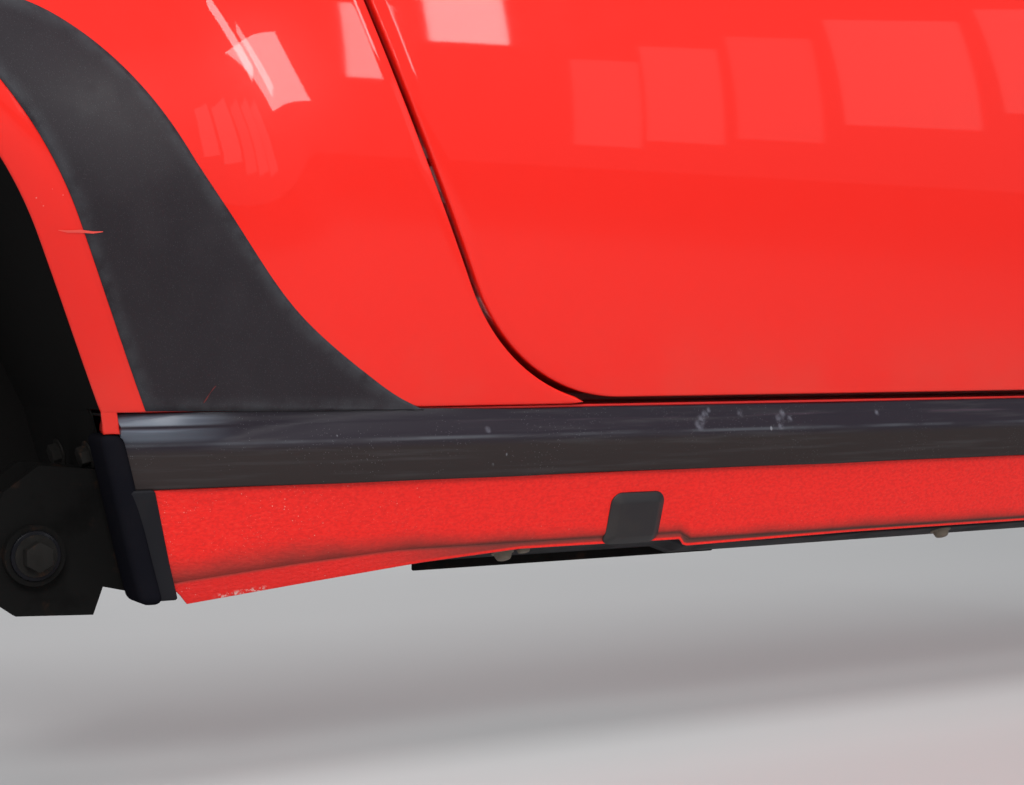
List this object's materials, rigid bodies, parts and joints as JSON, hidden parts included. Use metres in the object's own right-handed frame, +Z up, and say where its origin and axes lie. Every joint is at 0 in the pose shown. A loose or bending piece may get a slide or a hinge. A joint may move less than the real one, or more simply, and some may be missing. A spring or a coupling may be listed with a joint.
{
  "type": "convertible sports car body side with door",
  "caption": "Right-hand body side of an open sports car: sill, flared rear wing with stone guard, and a hinged door.",
  "frame": {"origin": "on the flat inboard face of the inner sill, where the floor is joined, 225 mm above the ground", "axes": "+X to the front of the car, +Y inboard, +Z up; the painted side faces -Y"},
  "size_m": [2.384, 0.45, 0.8558],
  "materials": {
    "red_paint": "deep gloss red paint with a clear coat",
    "red_satin": "thin red paint, less glossy",
    "red_textured": "red stone-chip coating with a fine leathery texture, dirty along its lower edge",
    "guard_film": "matt grainy dark protective sheet",
    "rubber_black": "satin black rubber",
    "plug_rubber": "matt dark grey rubber",
    "plastic_black": "fine-grained black plastic",
    "liner_black": "dull black undercoating",
    "cast_dark": "dirty dark casting",
    "steel": "zinc-plated steel",
    "steel_dark": "dark coated steel",
    "trim_leather": "grained black leather cloth",
    "glass": "clear, faint green tint",
    "mirror": "silvered glass"
  },
  "bodies": {
    "body_side": {"wing_panel": "red_paint", "stone_guard": "guard_film", "wheelhouse": "liner_black", "suspension_bracket": "cast_dark", "inner_quarter_panel": "red_satin", "lock_post": "red_satin", "striker": "steel", "rocker_outer": "red_satin", "rocker_inner": "red_satin", "sill_tread_plate": "plastic_black", "sill_strip": "rubber_black", "sill_cover": "red_textured", "sill_end_cap_rear": "rubber_black", "sill_end_cap_front": "plastic_black", "jack_socket": "steel_dark", "underbody_bracket": "steel_dark", "hinge_post": "red_satin", "door_seal": "rubber_black", "hinge_fixed_lower": "red_satin", "hinge_fixed_upper": "red_satin"},
    "door": {"door_skin": "red_paint", "door_frame": "red_satin", "door_latch": "steel_dark", "door_trim_panel": "trim_leather", "window_glass": "glass", "waist_seal_outer": "rubber_black", "waist_seal_inner": "rubber_black", "door_handle_outer": "red_paint", "mirror_foot": "plastic_black", "mirror_housing": "red_paint", "mirror_glass": "mirror", "door_pull": "plastic_black", "inner_release": "plastic_black", "hinge_moving_lower": "red_satin", "hinge_moving_upper": "red_satin"},
    "jack_plug": {"jack_plug": "plug_rubber"}
  },
  "joints": [
    {"name": "door_hinge", "type": "hinge", "parent": "body_side", "child": "door", "pos_m": [0.575, -0.15, 0.36], "axis": [0, 0, 1], "range_deg": [0, 65]},
    {"name": "jack_plug_pull", "type": "slide", "parent": "body_side", "child": "jack_plug", "axis": [0, -1, 0], "range_m": [0, 0.06]}
  ]
}
